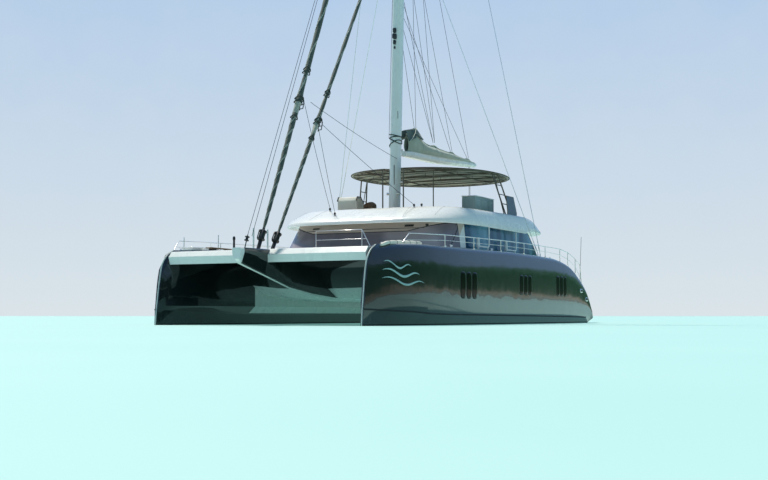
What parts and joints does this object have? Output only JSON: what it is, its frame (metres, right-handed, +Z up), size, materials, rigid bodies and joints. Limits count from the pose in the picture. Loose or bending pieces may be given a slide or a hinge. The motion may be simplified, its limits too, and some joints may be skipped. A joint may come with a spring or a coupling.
{
  "type": "sailing catamaran",
  "caption": "Sailing catamaran afloat, with furled headsails, a stowed mainsail on its boom, a glazed salon, a flybridge under an oval hardtop, and a lift platform aft.",
  "frame": {"origin": "on the waterline, amidships, on the boat's centreline", "axes": "+X forward, +Y to port, +Z up along the rig"},
  "size_m": [25.3, 11.54, 37],
  "materials": {
    "hull_gelcoat": "high gloss dark grey-green",
    "deck_gelcoat": "gloss white gelcoat",
    "antifouling": "matt bottom paint",
    "window_glass": "tinted glass",
    "stainless": "polished stainless steel",
    "frame_tube": "painted tube",
    "canopy_cloth": "woven awning cloth",
    "sailcloth": "dark protective strip",
    "bag_cloth": "woven cover cloth",
    "net": "knotless netting",
    "cushion": "woven cover",
    "console_cover": "fitted cover",
    "cabinet_cover": "fitted cover",
    "wicker": "woven cane",
    "teak": "oiled teak",
    "spar_paint": "gloss white paint",
    "bronze": "cast bronze"
  },
  "bodies": {
    "boat": {"hull_port": "hull_gelcoat", "hull_starboard": "hull_gelcoat", "keel_port": "antifouling", "keel_starboard": "antifouling", "bridgedeck": "deck_gelcoat", "foredeck": "deck_gelcoat", "centre_spine": "deck_gelcoat", "front_beam": "deck_gelcoat", "trampoline_port": "net", "trampoline_starboard": "net", "coachroof": "deck_gelcoat", "salon_front_wall": "deck_gelcoat", "salon_side_wall_port": "deck_gelcoat", "salon_side_wall_starboard": "deck_gelcoat", "salon_aft_wall": "deck_gelcoat", "salon_front_glass": "window_glass", "salon_side_glass_port": "window_glass", "salon_side_glass_starboard": "window_glass", "salon_aft_glass": "window_glass", "salon_sofa": "cushion", "salon_table": "teak", "salon_galley": "teak", "cockpit_sofa": "cushion", "cockpit_table": "teak", "roof_post_forward_port": "stainless", "roof_post_forward_starboard": "stainless", "roof_post_aft_port": "stainless", "roof_post_aft_starboard": "stainless", "helm_console": "console_cover", "helm_chair": "wicker", "bar_cabinet": "cabinet_cover", "flybridge_sofa": "cushion", "flybridge_table": "teak", "hardtop": "canopy_cloth", "hardtop_frame": "frame_tube", "windbreak_port": "window_glass", "windbreak_starboard": "window_glass", "mast": "spar_paint", "furled_genoa": "sailcloth", "furled_staysail": "sailcloth", "cap_shroud_port": "stainless", "cap_shroud_starboard": "stainless", "lower_shroud_port": "stainless", "lower_shroud_starboard": "stainless", "side_rail_port": "stainless", "side_rail_starboard": "stainless", "foredeck_rail": "stainless", "propeller_shaft_port": "bronze", "propeller_shaft_starboard": "bronze"},
    "boom": {"boom": "spar_paint", "sail_bag": "bag_cloth"},
    "steering_wheel": {"steering_wheel": "stainless"},
    "rudder_port": {"rudder_port": "antifouling"},
    "rudder_starboard": {"rudder_starboard": "antifouling"},
    "propeller_port": {"propeller_port": "bronze"},
    "propeller_starboard": {"propeller_starboard": "bronze"},
    "salon_door": {"salon_door": "window_glass"},
    "lift_platform": {"lift_platform": "teak"},
    "hatch_lid_port": {"hatch_lid_port": "deck_gelcoat"},
    "hatch_lid_starboard": {"hatch_lid_starboard": "deck_gelcoat"}
  },
  "joints": [
    {"name": "boom_swing", "type": "hinge", "parent": "boat", "child": "boom", "pos_m": [-0.33, 0, 7.94], "axis": [0, 0, 1], "range_deg": [-45, 45]},
    {"name": "rudder_port_turn", "type": "hinge", "parent": "boat", "child": "rudder_port", "pos_m": [-10.15, 4.55, -0.56], "axis": [0, 0, 1], "range_deg": [-35, 35]},
    {"name": "rudder_starboard_turn", "type": "hinge", "parent": "boat", "child": "rudder_starboard", "pos_m": [-10.15, -4.55, -0.56], "axis": [0, 0, 1], "range_deg": [-35, 35]},
    {"name": "wheel_turn", "type": "hinge", "parent": "boat", "child": "steering_wheel", "pos_m": [-0.52, -2.55, 5.48], "axis": [1, 0, 0], "range_deg": [-420, 420]},
    {"name": "propeller_port_spin", "type": "hinge", "parent": "boat", "child": "propeller_port", "pos_m": [-8.74, 4.55, -0.985], "axis": [-0.9893, 0, -0.1459], "continuous": true},
    {"name": "propeller_starboard_spin", "type": "hinge", "parent": "boat", "child": "propeller_starboard", "pos_m": [-8.74, -4.55, -0.985], "axis": [-0.9893, 0, -0.1459], "continuous": true},
    {"name": "salon_door_slide", "type": "slide", "parent": "boat", "child": "salon_door", "axis": [0, -1, 0], "range_m": [0, 1.1]},
    {"name": "platform_lift", "type": "slide", "parent": "boat", "child": "lift_platform", "axis": [0, 0, -1], "range_m": [0, 0.9]},
    {"name": "hatch_port_open", "type": "hinge", "parent": "boat", "child": "hatch_lid_port", "pos_m": [8.25, 4.55, 3.1055], "axis": [0, -1, 0], "range_deg": [0, 85]},
    {"name": "hatch_starboard_open", "type": "hinge", "parent": "boat", "child": "hatch_lid_starboard", "pos_m": [8.25, -4.55, 3.1055], "axis": [0, -1, 0], "range_deg": [0, 85]}
  ],
  "couplings": [
    {"joint": "rudder_starboard_turn", "follows": "rudder_port_turn", "ratio": 1},
    {"joint": "wheel_turn", "follows": "rudder_port_turn", "ratio": 12}
  ]
}
